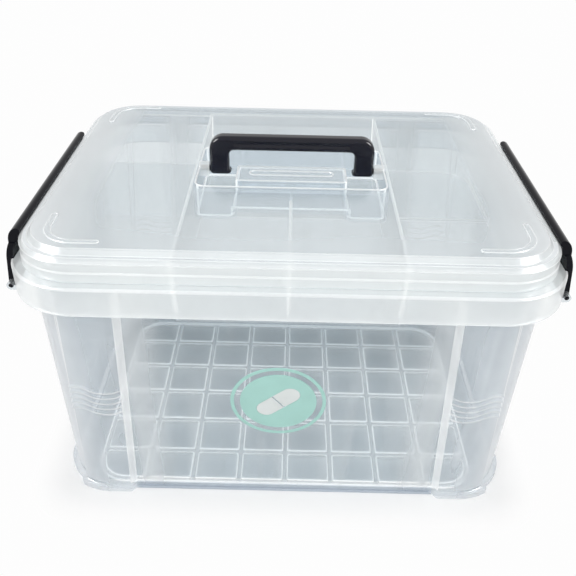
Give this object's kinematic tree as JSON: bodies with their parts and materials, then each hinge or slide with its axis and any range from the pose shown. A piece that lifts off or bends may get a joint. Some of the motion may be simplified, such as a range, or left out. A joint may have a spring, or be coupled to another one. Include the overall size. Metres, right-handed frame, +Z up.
{
  "type": "storage box",
  "caption": "Clear lidded box with a lift-out divided tray, a folding carry handle in the lid and a hinged side latch at each end.",
  "frame": {"origin": "on the surface that the box stands on, under the middle of its bounding box", "axes": "+X along the length to the right seen from the front, +Y from the badge on the front to the back, +Z up"},
  "size_m": [0.3194, 0.2492, 0.2206],
  "materials": {
    "clear_tub": "clear moulded polypropylene",
    "clear_lid": "clear moulded polypropylene, slightly milky",
    "clear_tray": "clear moulded polypropylene, slightly milky",
    "black_plastic": "gloss",
    "teal_ink": "printed ink",
    "pale_ink": "printed ink"
  },
  "bodies": {
    "tub_body": {"tub": "clear_tub", "badge_print": "teal_ink", "badge_capsule": "pale_ink"},
    "lid_body": {"lid": "clear_lid"},
    "tray_body": {"tray": "clear_tray"},
    "handle_body": {"carry_handle": "black_plastic"},
    "left_latch_body": {"left_latch": "black_plastic"},
    "right_latch_body": {"right_latch": "black_plastic"}
  },
  "joints": [
    {"name": "lid_lift", "type": "slide", "parent": "tub_body", "child": "lid_body", "axis": [0, 0, 1], "range_m": [0, 0.0785]},
    {"name": "tray_lift", "type": "slide", "parent": "tub_body", "child": "tray_body", "axis": [0, 0, 1], "range_m": [0, 0.0433]},
    {"name": "left_latch_hinge", "type": "hinge", "parent": "tub_body", "child": "left_latch_body", "pos_m": [-0.15735, -0.016, 0.166], "axis": [0, -1, 0], "range_deg": [0, 150]},
    {"name": "right_latch_hinge", "type": "hinge", "parent": "tub_body", "child": "right_latch_body", "pos_m": [0.15735, -0.016, 0.166], "axis": [0, 1, 0], "range_deg": [0, 150]},
    {"name": "handle_hinge", "type": "hinge", "parent": "lid_body", "child": "handle_body", "pos_m": [0, 0, 0.19755], "axis": [1, 0, 0], "range_deg": [-90, 90]}
  ],
  "couplings": [
    {"joint": "left_latch_hinge", "follows": "lid_lift", "rad_per_m": 33.333},
    {"joint": "right_latch_hinge", "follows": "lid_lift", "rad_per_m": 33.333},
    {"joint": "tray_lift", "follows": "lid_lift", "ratio": 0.55}
  ]
}
